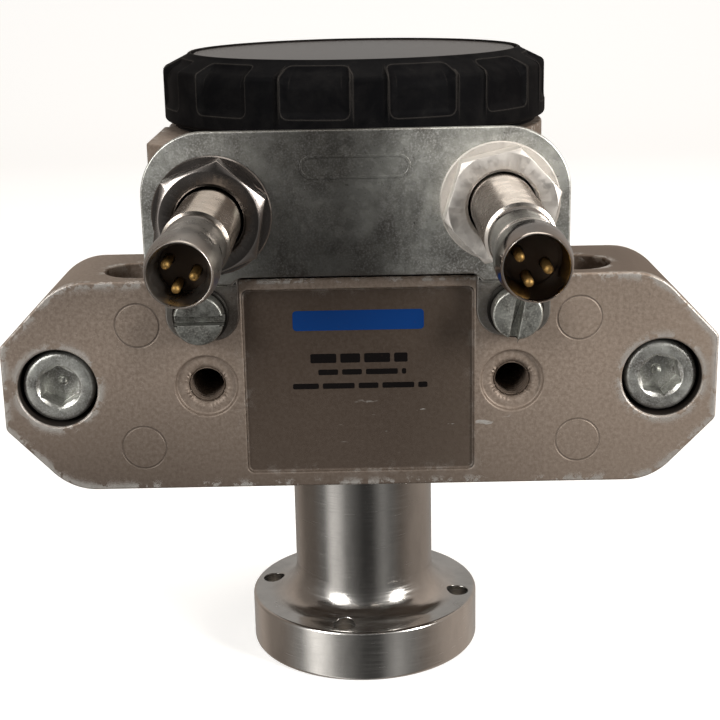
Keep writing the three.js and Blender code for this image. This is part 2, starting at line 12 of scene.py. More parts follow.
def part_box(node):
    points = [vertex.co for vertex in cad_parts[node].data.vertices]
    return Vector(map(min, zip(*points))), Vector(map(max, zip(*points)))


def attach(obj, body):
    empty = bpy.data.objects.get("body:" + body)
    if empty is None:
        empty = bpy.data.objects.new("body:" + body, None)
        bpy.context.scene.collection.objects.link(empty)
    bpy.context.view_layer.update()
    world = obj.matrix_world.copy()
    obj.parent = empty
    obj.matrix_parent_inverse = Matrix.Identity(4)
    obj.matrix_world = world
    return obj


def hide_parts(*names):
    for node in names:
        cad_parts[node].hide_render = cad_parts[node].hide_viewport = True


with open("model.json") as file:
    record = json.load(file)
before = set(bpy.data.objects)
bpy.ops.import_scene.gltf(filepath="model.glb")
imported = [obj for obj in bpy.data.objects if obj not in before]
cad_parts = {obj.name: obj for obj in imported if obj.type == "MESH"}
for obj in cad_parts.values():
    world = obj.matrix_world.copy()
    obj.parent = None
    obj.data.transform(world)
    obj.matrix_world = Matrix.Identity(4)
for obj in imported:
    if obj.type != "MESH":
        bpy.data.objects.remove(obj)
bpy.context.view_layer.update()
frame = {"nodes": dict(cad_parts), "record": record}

MM = 0.001
SIDES = (("left", -1), ("right", 1))


# ------------------------------------------------------------------ places, read from the frame
class Span:
    """A CAD node's box in millimetres."""

    def __init__(self, node):
        low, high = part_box(node)
        self.x0, self.y0, self.z0 = low / MM
        self.x1, self.y1, self.z1 = high / MM
        self.x, self.y, self.z = (low + high) / (2 * MM)
        self.r = (self.x1 - self.x0) / 2


PLATE = Span("main_housing")
DECK = Span("upper_housing")
COVER = Span("cover")
HUB = Span("output_hub")
BRACKET = Span("sensor_bracket")
FRONT = PLATE.y0
ROW_Z = (PLATE.z0 + PLATE.z1) / 2
# The label's half width, and its reach below and above the row of screws.
LABEL = (15.1, 12.2, 12.8)
LABEL_DEPTH = 0.4
SHAFT_BORE_R = 7
CHAMBER_R = 21.5
COVER_SEAT_R = 23.5
PORT_X = 20.2
SCREW_X = Span("mounting_screw_right").x
COUNTERBORE_R = 5.3


# ------------------------------------------------------------------ mesh helpers, in millimetres
def link(name, mesh):
    piece = bpy.data.objects.new(name, mesh)
    bpy.context.scene.collection.objects.link(piece)
    return piece


def from_bmesh(name, bm):
    bmesh.ops.remove_doubles(bm, verts=bm.verts, dist=1e-7)
    bmesh.ops.recalc_face_normals(bm, faces=bm.faces)
    mesh = bpy.data.meshes.new(name)
    bm.to_mesh(mesh)
    bm.free()
    return link(name, mesh)


def arc(cx, cy, radius, start, end, steps):
    angles = [math.radians(start + (end - start) * i / steps) for i in range(steps + 1)]
    return [(cx + radius * math.cos(a), cy + radius * math.sin(a)) for a in angles]


def rounded_rect(x0, x1, y0, y1, r, steps=8):
    return (
        arc(x1 - r, y0 + r, r, -90, 0, steps)
        + arc(x1 - r, y1 - r, r, 0, 90, steps)
        + arc(x0 + r, y1 - r, r, 90, 180, steps)
        + arc(x0 + r, y0 + r, r, 180, 270, steps)
    )


def prism(name, outline, low, high, axis="z"):
    """An outline raised along Z, or one drawn in XZ and run along Y."""
    bm = bmesh.new()
    rings = []
    for level in (low, high):
        places = [(u, v, level) if axis == "z" else (u, level, v) for u, v in outline]
        rings.append([bm.verts.new(Vector(p) * MM) for p in places])
    bm.faces.new(rings[0])
    bm.faces.new(rings[1])
    for i in range(len(outline)):
        j = (i + 1) % len(outline)
        bm.faces.new((rings[0][i], rings[0][j], rings[1][j], rings[1][i]))
    return from_bmesh(name, bm)


def lathe(name, profile, segments=96, start=0.0, sweep=360.0):
    """A closed (radius, height) profile turned about Z, right round or through a sector."""
    bm = bmesh.new()
    whole = sweep >= 360
    stations = segments if whole else segments + 1
    rings = []
    for i in range(stations):
        a = math.radians(start + sweep * i / segments)
        c, s = math.cos(a), math.sin(a)
        rings.append([bm.verts.new((r * c * MM, r * s * MM, z * MM)) for r, z in profile])
    for i in range(segments):
        here, there = rings[i], rings[(i + 1) % stations]
        for k in range(len(profile)):
            m = (k + 1) % len(profile)
            if profile[k][0] < 1e-6 and profile[m][0] < 1e-6:
                continue
            bm.faces.new((here[k], there[k], there[m], here[m]))
    if not whole:
        bm.faces.new(rings[0])
        bm.faces.new(rings[-1])
    return from_bmesh(name, bm)


def cylinder(radius, low, high, x=0.0, y=0.0, segments=64):
    piece = lathe("tool", [(0, low), (radius, low), (radius, high), (0, high)], segments)
    return moved(piece, x, y, 0)


def moved(piece, x=0.0, y=0.0, z=0.0):
    piece.data.transform(Matrix.Translation(Vector((x, y, z)) * MM))
    return piece


def turned(piece, degrees, axis="Z"):
    piece.data.transform(Matrix.Rotation(math.radians(degrees), 4, axis))
    return piece


def facing_front(piece, x, y, z):
    """Lays a piece that was made along Z down along Y, with its low end to the front."""
    return moved(turned(piece, -90, "X"), x, y, z)


def bore_y(radius, low, high, x, z, segments=64):
    return facing_front(cylinder(radius, 0, high - low, segments=segments), x, low, z)


def cone_y(front_radius, back_radius, low, high, x, z, segments=64):
    depth = high - low
    profile = [(0, 0), (front_radius, 0), (back_radius, depth), (0, depth)]
    return facing_front(lathe("tool", profile, segments), x, low, z)


def box(x0, x1, y0, y1, z0, z1):
    return prism("tool", [(x0, y0), (x1, y0), (x1, y1), (x0, y1)], z0, z1)


def bake(piece):
    """Applies a piece's modifiers."""
    graph = bpy.context.evaluated_depsgraph_get()
    graph.update()
    mesh = bpy.data.meshes.new_from_object(piece.evaluated_get(graph))
    piece.modifiers.clear()
    piece.data = mesh
    return piece


def merged(tools):
    bm = bmesh.new()
    for tool in tools:
        bm.from_mesh(tool.data)
        bpy.data.objects.remove(tool)
    mesh = bpy.data.meshes.new("tools")
    bm.to_mesh(mesh)
    bm.free()
    return link("tools", mesh)


def combine(piece, tools, operation, overlapping=False):
    tool = merged(tools)
    step = piece.modifiers.new("combine", "BOOLEAN")
    step.operation = operation
    step.solver = "EXACT"
    step.use_self = overlapping
    step.object = tool
    bake(piece)
    bpy.data.objects.remove(tool)
    return piece


def cut(piece, *tools, overlapping=True):
    return combine(piece, tools, "DIFFERENCE", overlapping)


def rounded(piece, width, segments=3, angle=28):
    step = piece.modifiers.new("rounding", "BEVEL")
    step.width = width * MM
    step.segments = segments
    step.limit_method = "ANGLE"
    step.angle_limit = math.radians(angle)
    step.use_clamp_overlap = False
    return bake(piece)


def smooth(piece, angle=32):
    piece.data.shade_smooth()
    piece.data.set_sharp_from_angle(angle=math.radians(angle))
    step = piece.modifiers.new("normals", "WEIGHTED_NORMAL")
    step.keep_sharp = True
    return piece


def finish(piece, name, body, slot, look, *nodes):
    """Names a piece, gives it its material, and puts it in place of its CAD nodes."""
    piece.name = name
    piece.data.materials.clear()
    piece.data.materials.append(look)
    smooth(piece)
    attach(piece, body)
    if nodes:
        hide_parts(*nodes)
    return piece


# ------------------------------------------------------------------ material helpers
class Look:
    """A node-based material around one Principled shader."""

    def __init__(self, name, color=(0.5, 0.5, 0.5), metallic=0.0, roughness=0.5):
        self.material = bpy.data.materials.new(name)
        self.material.use_nodes = True
        self.tree = self.material.node_tree
        self.shader = self.tree.nodes["Principled BSDF"]
        self.place = self.tree.nodes.new("ShaderNodeTexCoord").outputs["Object"]
        self.set("Base Color", (*color, 1))
        self.set("Metallic", metallic)
        self.set("Roughness", roughness)

    def set(self, socket, value):
        target = self.shader.inputs[socket]
        self.connect(target, value)

    def connect(self, target, value):
        if isinstance(value, bpy.types.NodeSocket):
            self.tree.links.new(value, target)
        else:
            target.default_value = value

    def stretched(self, x, y, z, tilt=0.0):
        """The place scaled along each axis, then turned by tilt degrees about Y."""
        node = self.tree.nodes.new("ShaderNodeMapping")
        node.inputs["Rotation"].default_value = (0, math.radians(tilt), 0)
        node.inputs["Scale"].default_value = (x, y, z)
        self.connect(node.inputs["Vector"], self.place)
        return node.outputs["Vector"]

    def noise(self, size, detail=4.0, roughness=0.6, place=None, distortion=0.0):
        """Noise whose features are about size millimetres across."""
        node = self.tree.nodes.new("ShaderNodeTexNoise")
        self.connect(node.inputs["Vector"], place or self.place)
        node.inputs["Scale"].default_value = 1 / (size * MM)
        node.inputs["Detail"].default_value = detail
        node.inputs["Roughness"].default_value = roughness
        node.inputs["Distortion"].default_value = distortion
        return node.outputs["Fac"]

    def cells(self, size, output="Distance"):
        """Irregular cells about size millimetres across."""
        node = self.tree.nodes.new("ShaderNodeTexVoronoi")
        self.connect(node.inputs["Vector"], self.place)
        node.inputs["Scale"].default_value = 1 / (size * MM)
        return node.outputs[output]

    def math(self, operation, a, b=0.0):
        node = self.tree.nodes.new("ShaderNodeMath")
        node.operation = operation
        node.use_clamp = operation in ("ADD", "SUBTRACT", "MULTIPLY")
        self.connect(node.inputs[0], a)
        self.connect(node.inputs[1], b)
        return node.outputs[0]

    def times(self, first, *others):
        """A product, held between 0 and 1."""
        for other in others:
            first = self.math("MULTIPLY", first, other)
        return first

    def rest(self, value):
        """1 minus the value."""
        return self.math("SUBTRACT", 1.0, value)

    def sum(self, a, b):
        """A sum that isn't held between 0 and 1."""
        node = self.tree.nodes.new("ShaderNodeMath")
        self.connect(node.inputs[0], a)
        self.connect(node.inputs[1], b)
        return node.outputs[0]

    def fade(self, value, low, high, to_low=0.0, to_high=1.0, clamp=True):
        node = self.tree.nodes.new("ShaderNodeMapRange")
        node.clamp = clamp
        node.inputs["From Min"].default_value = low
        node.inputs["From Max"].default_value = high
        node.inputs["To Min"].default_value = to_low
        node.inputs["To Max"].default_value = to_high
        self.connect(node.inputs["Value"], value)
        return node.outputs["Result"]

    def mix(self, factor, a, b):
        node = self.tree.nodes.new("ShaderNodeMix")
        node.data_type = "RGBA"
        self.connect(node.inputs[0], factor)
        for socket, value in ((node.inputs[6], a), (node.inputs[7], b)):
            self.connect(socket, (*value, 1) if isinstance(value, tuple) else value)
        return node.outputs[2]

    def part(self, axis):
        node = self.tree.nodes.new("ShaderNodeSeparateXYZ")
        self.connect(node.inputs[0], self.place)
        return node.outputs["XYZ".index(axis)]

    def along_x(self, stops):
        """A level that changes across X; stops are (millimetres, level)."""
        first, last = stops[0][0], stops[-1][0]
        node = self.tree.nodes.new("ShaderNodeValToRGB")
        self.connect(node.inputs["Fac"], self.fade(self.part("X"), first * MM, last * MM))
        points = node.color_ramp.elements
        for place, _ in stops[1:-1]:
            points.new((place - first) / (last - first))
        for point, (_, level) in zip(points, stops):
            point.color = (level, level, level, 1)
        return node.outputs["Color"]

    def edges(self, radius):
        """Near 1 where the surface turns within radius millimetres."""
        soft = self.tree.nodes.new("ShaderNodeBevel")
        soft.samples = 6
        soft.inputs["Radius"].default_value = radius * MM
        true = self.tree.nodes.new("ShaderNodeNewGeometry")
        dot = self.tree.nodes.new("ShaderNodeVectorMath")
        dot.operation = "DOT_PRODUCT"
        self.connect(dot.inputs[0], soft.outputs["Normal"])
        self.connect(dot.inputs[1], true.outputs["Normal"])
        return self.fade(dot.outputs["Value"], 0.998, 0.94)

    def bump(self, *layers):
        """Layers are (height, strength, depth in millimetres)."""
        normal = None
        for height, strength, depth in layers:
            node = self.tree.nodes.new("ShaderNodeBump")
            node.inputs["Strength"].default_value = strength
            node.inputs["Distance"].default_value = depth * MM
            self.connect(node.inputs["Height"], height)
            if normal is not None:
                self.connect(node.inputs["Normal"], normal)
            normal = node.outputs["Normal"]
        self.set("Normal", normal)


# ------------------------------------------------------------------ materials
# The label's own dark brown, also used as a painted dark reflection over the label pocket.
LABEL_BROWN_AND_DARK_REFLECTION = (0.042, 0.027, 0.018)


def cast_look(name, wear):
    """Champagne-brown coated die casting with a fine sparkle and bare, chipped edges, and with
    painted shade and painted light in places.
    """
    look = Look(name)
    grain = look.noise(0.5, 3, 0.7)
    cloud = look.noise(14, 3, 0.5)
    flake = look.fade(look.cells(0.42), 0.16, 0.05)
    tone = look.mix(cloud, (0.190, 0.145, 0.114), (0.290, 0.228, 0.182))
    tone = look.mix(look.fade(grain, 0.38, 0.68, 0, 0.75), tone, (0.38, 0.315, 0.265))
    tone = look.mix(look.times(flake, 0.55), tone, (0.52, 0.46, 0.40))
    pits = look.fade(look.noise(0.9, 5, 0.75), 0.36, 0.29)
    tone = look.mix(look.times(pits, 0.5), tone, (0.09, 0.07, 0.055))
    # Painted shade: the ejector grooves are darkened all round, as well as bumped in.
    ring = ejector_rings(look)
    tone = look.mix(look.times(ring, 0.55), tone, (0.075, 0.058, 0.048))
    # Partly the label's own colour and partly painted dark reflection: the label pocket is
    # darkened.
    tone = look.mix(look.times(label_field(look), 0.88), tone, LABEL_BROWN_AND_DARK_REFLECTION)
    # Painted shade: the plate darkens towards its bottom edge, more on the left and in the middle
    # than on the right.
    low = look.fade(look.part("Z"), (ROW_Z + 4) * MM, PLATE.z0 * MM, 0, 0.78)
    low = look.times(low, look.fade(look.part("X"), 0.008, 0.026, 1, 0.55))
    tone = look.mix(low, tone, (0.085, 0.064, 0.050))
    # Painted light on the front towards the right, and painted shade on the other faces towards the
    # right.
    right = look.fade(look.part("X"), 0.004, 0.046)
    face = on_front(look, 0.6)
    tone = look.mix(look.times(right, face, 0.16), tone, (0.62, 0.50, 0.40))
    tone = look.mix(look.times(right, look.rest(face), 0.75), tone, (0.085, 0.055, 0.036))
    # Painted shade: the counterbore walls are painted near black and made less metallic.
    counterbore_shade = counterbore_walls(look)
    tone = look.mix(look.times(counterbore_shade, 0.93), tone, (0.010, 0.008, 0.007))
    ports = look.fade(from_axis(look, PORT_X, 0), 5.2, 6.2, 1, 0)
    around_label = look.times(label_field(look, 1.0), 0.85)
    quiet = look.math("MAXIMUM", look.math("MAXIMUM", counterbore_shade, ports), around_label)
    ends = look.fade(look.math("ABSOLUTE", look.part("X")), 0.026, 0.042, 0.13, 0.22)
    worn = look.times(look.edges(wear), ends)
    bare = look.fade(look.sum(look.noise(2.4, 8, 0.70), worn), 0.655, 0.69)
    bare = look.times(bare, look.fade(worn, 0.02, 0.06), look.rest(quiet))
    bare = look.math("ADD", bare, scratches(look))
    look.set("Base Color", look.mix(bare, tone, (0.70, 0.68, 0.65)))
    metal = look.math("SUBTRACT", look.fade(bare, 0, 1, 0.35, 0.9), look.times(counterbore_shade, 0.35))
    look.set("Metallic", metal)
    look.set("Roughness", look.fade(grain, 0.2, 0.8, 0.42, 0.60))
    swell = look.noise(1.6, 3)
    look.bump((grain, 0.35, 0.05), (swell, 0.18, 0.08), (look.rest(ring), 0.8, 0.10))
    return look.material


# Ejector marks: distance from the middle, height off the row of screws, radius.
MARK = (28.95, 8.4, 2.92)


def near(look, value, middle, low, high):
    """1 where value lies within low of middle, 0 beyond high; all in millimetres."""
    low_end, high_end = (middle - 1) * MM, (middle + 1) * MM
    offset = look.fade(value, low_end, high_end, -1, 1, clamp=False)
    return look.fade(look.math("ABSOLUTE", offset), low, high, 1, 0)


def on_front(look, depth):
    """1 up to depth millimetres behind the plate's front, and 0 soon after."""
    return look.fade(look.part("Y"), (FRONT + depth) * MM, (FRONT + depth + 0.2) * MM, 1, 0)


def from_axis(look, x, z):
    """Millimetres from an axis along Y at x each side of the middle, z above and below the row."""
    across = look.fade(look.math("ABSOLUTE", look.part("X")), 0, 0.1, -x, 100 - x)
    level = look.fade(look.part("Z"), (ROW_Z - 50) * MM, (ROW_Z + 50) * MM, -50, 50)
    up = look.fade(look.math("ABSOLUTE", level), 0, 100, -z, 100 - z)
    squares = [look.math("POWER", look.math("ABSOLUTE", side), 2.0) for side in (across, up)]
    return look.math("SQRT", look.sum(*squares))


def ejector_rings(look):
    """Fine round grooves that the mould's ejector pins left on the plate, two each side."""
    away = from_axis(look, MARK[0], MARK[1])
    gap = look.math("ABSOLUTE", look.fade(away, 0, 100, -MARK[2], 100 - MARK[2]))
    return look.times(look.fade(gap, 0.05, 0.17, 1, 0), on_front(look, 0.2))


def counterbore_walls(look):
    """1 on the walls of the two counterbores, which cast_look paints near black as shade."""
    away = from_axis(look, SCREW_X, 0)
    inside = look.fade(away, COUNTERBORE_R + 0.1, COUNTERBORE_R + 0.3, 1, 0)
    return look.times(inside, look.rest(on_front(look, 0.15)))


def label_field(look, margin=0.0):
    """1 on the floor of the label's shallow pocket, and margin millimetres round it."""
    middle = ROW_Z + (LABEL[2] - LABEL[1]) / 2
    half, wide = (LABEL[1] + LABEL[2]) / 2 + margin, LABEL[0] + margin
    across = near(look, look.part("X"), 0, wide - 0.2, wide)
    upright = near(look, look.part("Z"), middle, half - 0.2, half)
    return look.times(across, upright, on_front(look, 0.6))


def scratches(look):
    """A few short bright scratches low on the right of the label."""
    slanted = look.stretched(0.28, 1, 1, tilt=38)
    marks = look.fade(look.noise(1.1, 3, 0.6, place=slanted), 0.68, 0.71)
    across = near(look, look.part("X"), 9, 8, 12)
    upright = near(look, look.part("Z"), ROW_Z - 8, 4, 6)
    return look.times(marks, across, upright, on_front(look, 0.6), 0.75)


# Painted shade on the bracket's feet below the panel fades out between these heights, in metres.
FOOT_SHADE_Z = (0.0622, 0.0652)


def zinc_look(name, dull, gain=1.0, reflection_tones=None, patch=9):
    """Galvanised sheet: grey spangle, cloudy patches and small dark pits; with brightness stops
    across X it gets a painted reflection, and painted shade on its feet.
    """
    look = Look(name, metallic=0.9)
    spangle = look.cells(1.1, output="Color")
    cloud = look.noise(patch, 4, 0.62, distortion=0.6)
    fine = look.noise(0.25, 3, 0.7)
    dark, light, glint = (
        tuple(min(0.9, gain * c) for c in tone)
        for tone in ((0.17, 0.165, 0.15), (0.50, 0.515, 0.48), (0.62, 0.62, 0.57))
    )
    tone = look.mix(look.fade(cloud, 0.35, 0.66), dark, light)
    tone = look.mix(look.fade(fine, 0.46, 0.66, 0, 0.75), tone, glint)
    if reflection_tones:
        # Painted reflection: the sheet is darkened across X by the given stops.
        tone = look.mix(look.along_x(reflection_tones), (0.022, 0.017, 0.014), tone)
        # Painted shade: the sheet darkens on the feet below the panel.
        grime_and_shade = look.fade(look.part("Z"), *FOOT_SHADE_Z, 0.72, 0)
        tone = look.mix(grime_and_shade, tone, (0.13, 0.10, 0.082))
    pits = look.fade(look.noise(0.55, 4, 0.8), 0.37, 0.31)
    tone = look.mix(look.times(pits, 0.7), tone, (0.05, 0.045, 0.04))
    look.set("Base Color", tone)
    sheen = look.fade(spangle, 0, 1, dull - 0.05, dull + 0.05)
    look.set("Roughness", look.math("ADD", sheen, look.fade(fine, 0, 1, 0, 0.14)))
    look.bump((fine, 0.30, 0.04), (look.noise(2.4, 3), 0.15, 0.08))
    return look.material


def nickel_look(name, tone, roughness, lines):
    """Nickel plate with turning lines across Y; lines is their strength."""
    look = Look(name, tone, 1.0, roughness)
    ridges = look.noise(0.3, 2, 0.5, place=look.stretched(0.04, 1, 0.04))
    smears = look.noise(2.2, 5, 0.65)
    dark = tuple(c * 0.55 for c in tone)
    look.set("Base Color", look.mix(look.fade(smears, 0.35, 0.75, 0, 0.6), tone, dark))
    grime_and_shade = look.fade(smears, 0.35, 0.7, roughness * 0.8, roughness * 1.5)
    look.set("Roughness", grime_and_shade)
    turns = look.noise(0.8, 2, 0.5, place=look.stretched(0.02, 1, 0.02))
    look.bump((ridges, lines, 0.03), (turns, lines, 0.08), (look.noise(0.5, 3), 0.06, 0.03))
    return look.material


def steel_look(name, tone, roughness):
    """Turned steel: lathe lines round the Z axis, stains, dark specks, a darker stem."""
    look = Look(name, tone, 1.0, roughness)
    lines = look.noise(0.16, 2, 0.5, place=look.stretched(0.03, 0.03, 1))
    stain = look.noise(5, 5, 0.6, place=look.stretched(1, 1, 0.45))
    specks = look.fade(look.noise(0.8, 5, 0.8), 0.34, 0.27)
    dark = tuple(c * 0.62 for c in tone)
    body = look.mix(look.fade(stain, 0.4, 0.7, 0, 0.5), tone, dark)
    body = look.mix(look.times(specks, 0.6), body, (0.12, 0.09, 0.07))
    stem = look.fade(look.part("Z"), 0.0085, 0.0125, 0, 0.42)
    body = look.mix(stem, body, (0.10, 0.095, 0.09))
    look.set("Base Color", body)
    look.set("Roughness", look.fade(lines, 0.25, 0.75, roughness - 0.06, roughness + 0.12))
    look.bump((lines, 0.09, 0.02), (look.noise(1.2, 3), 0.05, 0.04))
    return look.material


def plastic_look(name, tone, roughness, dust, shine=0.5, rim=0.0):
    """Moulded plastic with a fine texture and a film of dust; rim lightens its edges."""
    look = Look(name, tone, 0.0, roughness)
    film = look.fade(look.noise(5, 6, 0.7, distortion=0.4), 0.45, 0.78, 0, dust)
    specks = look.fade(look.noise(0.5, 5, 0.8), 0.63, 0.72, 0, dust * 1.4)
    film = look.math("ADD", film, specks)
    color = look.mix(film, tone, (0.20, 0.185, 0.17))
    if rim:
        color = look.mix(look.times(look.edges(0.3), rim), color, (0.30, 0.27, 0.24))
    look.set("Base Color", color)
    look.set("Specular IOR Level", shine)
    look.set("Roughness", look.fade(film, 0, 0.6, roughness, min(1, roughness + 0.3)))
    look.bump((look.noise(0.22, 3), 0.22, 0.03), (look.noise(3, 2), 0.08, 0.08))
    return look.material


def plain_metal_look(name, tone, roughness):
    """Small metal pieces: slight tone change and fine grain."""
    look = Look(name, tone, 0.95, roughness)
    grain = look.noise(0.4, 4, 0.65)
    dark = tuple(c * 0.6 for c in tone)
    look.set("Base Color", look.mix(look.fade(grain, 0.3, 0.75), tone, dark))
    look.set("Roughness", look.fade(grain, 0.2, 0.8, roughness, roughness + 0.15))
    look.bump((grain, 0.12, 0.03))
    return look.material


def ink_look(name, tone):
    """Printed ink, slightly worn through to the label."""
    look = Look(name, tone, 0.0, 0.5)
    worn = look.fade(look.noise(0.4, 4, 0.6), 0.62, 0.75, 0, 0.35)
    look.set("Base Color", look.mix(worn, tone, LABEL_BROWN_AND_DARK_REFLECTION))
    look.set("Specular IOR Level", 0.15)
    look.bump((look.noise(0.35, 3), 0.25, 0.03))
    return look.material


# Painted reflection on the bracket sheet: its brightness across X, in millimetres from the middle.
SHEET_REFLECTION_TONES = (
    (-27, 0.95), (-19, 0.8), (-12, 0.28), (-2, 0.17), (3, 0.30), (9, 0.95), (17, 1.0), (27, 1.0),
)

CAST = cast_look("cast_coating", 2.2)
CAST_INSIDE = plain_metal_look("cast_inside", (0.42, 0.40, 0.37), 0.42)
SHEET = zinc_look("galvanised_sheet", 0.33, 1.75, SHEET_REFLECTION_TONES)
ZINC = zinc_look("zinc_fastener", 0.24)
BRIGHT_ZINC = zinc_look("bright_zinc", 0.30, 1.75, patch=4)
# One slotted-screw finish in two copies: the left darker as painted shade, the right lighter as
# painted light.
LIT_MOTTLED_ZINC = zinc_look("lit_mottled_zinc", 0.30, 1.15, patch=2.2)
SHADED_ZINC = zinc_look("shaded_zinc", 0.34, 0.72, patch=2.2)
# One nut finish in two copies: the left darkened as painted shade, the right lightened as painted
# light.
SHADED_NUT_GLOSS = nickel_look("shaded_nickel_nut", (0.30, 0.275, 0.26), 0.20, 0.10)
LIT_NUT_SATIN = nickel_look("lit_satin_nut", (0.92, 0.88, 0.83), 0.46, 0.25)
# One thread finish in two copies: the left darkened as painted shade, the right lightened as
# painted light.
SHADED_THREAD = nickel_look("shaded_thread", (0.30, 0.27, 0.24), 0.20, 0.45)
LIT_THREAD = nickel_look("lit_thread", (0.54, 0.50, 0.46), 0.25, 0.50)
# The left plug's duller copy of the plug finish is darker as painted shade.
POLISHED = nickel_look("sensor_plug", (0.55, 0.50, 0.46), 0.12, 0.06)
SHADED_SATIN_PLUG = nickel_look("shaded_satin_plug", (0.44, 0.41, 0.38), 0.30, 0.10)
STEEL = steel_look("turned_steel", (0.86, 0.84, 0.81), 0.16)
BLACK_STEEL = plain_metal_look("black_oxide", (0.035, 0.033, 0.03), 0.38)
BRONZE = plain_metal_look("sintered_bronze", (0.45, 0.29, 0.13), 0.35)
GOLD = plain_metal_look("gold_contact", (0.46, 0.29, 0.10), 0.48)
INSERT = plastic_look("contact_carrier", (0.045, 0.026, 0.012), 0.50, 0.15)
RUBBER = plastic_look("rubber", (0.014, 0.014, 0.014), 0.65, 0.10)
BLACK = plastic_look("black_plastic", (0.003, 0.003, 0.0036), 0.60, 0.035, 0.035, 0.12)
GLOSSY = plastic_look("gloss_disc", (0.024, 0.014, 0.010), 0.10, 0.03, 0.08)
BLUE_INK = ink_look("blue_ink", (0.002, 0.036, 0.17))
DARK_INK = ink_look("dark_ink", (0.003, 0.002, 0.002))

SLOT_LOOKS = {
    "cast_housing": CAST_INSIDE,
    "zinc": ZINC,
    "nickel": LIT_NUT_SATIN,
    "turned_steel": STEEL,
    "black_steel": BLACK_STEEL,
    "bronze": BRONZE,
    "gold_pins": GOLD,
    "dark_insert": INSERT,
    "rubber": RUBBER,
    "black_plastic": BLACK,
    "gloss_plastic": GLOSSY,
}


def dress_cad_nodes():
    """Gives every CAD node its procedural material; the visible ones are replaced further on."""
    for row in frame["record"]["subparts"]:
        node = frame["nodes"][row["node"]]
        node.data.materials.clear()
        node.data.materials.append(SLOT_LOOKS[row["material_slot"]])


# ------------------------------------------------------------------ main housing
EAR_CORNER = 8.0
EAR_ARC_X = 35.6
BODY_CORNER = 4.0
# Upright holes through the ears: distance from the middle, depth behind the front, radius.
EAR_HOLE = (29.05, 7.5, 4.8)


def ear_outline():
    half, top = PLATE.x1, (PLATE.z1 - PLATE.z0) / 2
    corner_x = EAR_ARC_X + EAR_CORNER * math.sqrt(0.5)
    end = top - EAR_CORNER * (1 - math.sqrt(0.5)) - (half - corner_x)
    quarter = arc(half - 1.2, end - 0.7, 1.2, 0, 45, 5)
    quarter += arc(EAR_ARC_X, top - EAR_CORNER, EAR_CORNER, 45, 90, 16)
    points = []
    for sx, sz in ((1, 1), (-1, 1), (-1, -1), (1, -1)):
        part = [(sx * x, ROW_Z + sz * z) for x, z in quarter]
        points += part if sx * sz > 0 else part[::-1]
    return points


def main_housing():
    back = rounded_rect(-DECK.x1, DECK.x1, FRONT + 8, PLATE.y1, BODY_CORNER)
    body = prism("main_housing_body", ear_outline(), FRONT, FRONT + 18.6, "y")
    combine(body, [prism("tool", back, PLATE.z0, PLATE.z1)], "UNION")
    tools = []
    label = rounded_rect(-LABEL[0], LABEL[0], ROW_Z - LABEL[1], ROW_Z + LABEL[2], 0.8)
    tools.append(prism("tool", label, FRONT - 1, FRONT + LABEL_DEPTH, "y"))
    tools.append(cylinder(CHAMBER_R, 43.5, PLATE.z1 + 1, segments=128))
    tools.append(cylinder(11.3, 36.2, 44, segments=96))
    tools.append(cylinder(SHAFT_BORE_R, PLATE.z0 - 1, 37))
    for side, sign in SIDES:
        screw = Span(f"mounting_screw_{side}")
        tools.append(bore_y(COUNTERBORE_R, FRONT - 1, screw.y0 + 6.1, screw.x, ROW_Z, 96))
        tools.append(bore_y(3.3, screw.y0 + 5, FRONT + 20, screw.x, ROW_Z))
        x = sign * PORT_X
        tools.append(bore_y(4.1, FRONT - 1, FRONT + 0.6, x, ROW_Z, 96))
        tools.append(cone_y(2.95, 2.1, FRONT + 0.5, FRONT + 1.35, x, ROW_Z))
        tools.append(threaded_bore(2.1, 2.42, 0.8, 20, x))
        hole_x, hole_y = sign * EAR_HOLE[0], FRONT + EAR_HOLE[1]
        tools.append(cylinder(EAR_HOLE[2], PLATE.z0 - 1, PLATE.z1 + 1, hole_x, hole_y, 96))
        foot = Span(f"bracket_screw_{side}")
        tools.append(bore_y(2.2, FRONT - 1, FRONT + 8.5, foot.x, foot.z))
        pin = Span(f"separator_pin_{side}")
        tools.append(cylinder(1.3, pin.z0 - 0.3, 44, pin.x, pin.y, 32))
    for number in range(1, 5):
        screw = Span(f"housing_screw_{number}")
        tools.append(cylinder(2.3, PLATE.z0 - 1, PLATE.z1 + 1, screw.x, screw.y, 48))
        tools.append(cylinder(3.8, PLATE.z0 - 1, screw.z0 + 4.1, screw.x, screw.y, 64))
    cut(body, *tools)
    rounded(body, 0.32)
    finish(body, "main_housing_body", "housing", "cast_housing", CAST, "main_housing")


def threaded_bore(inner, outer, pitch, turns, x):
    """A cutter for a port thread, as rings of a saw-tooth profile."""
    profile = [(0, 0)]
    for i in range(turns):
        profile += [(inner, i * pitch), (outer, (i + 0.5) * pitch)]
    profile += [(inner, turns * pitch), (0, turns * pitch)]
    return facing_front(lathe("tool", profile, 48), x, FRONT + 0.9, ROW_Z)


# The dark rows of the label: first and last X, height.
DASH_ROWS = ((-6.4, 6.2, 1.25), (-5.4, 6.0, 0.75), (-8.8, 8.8, 0.75))


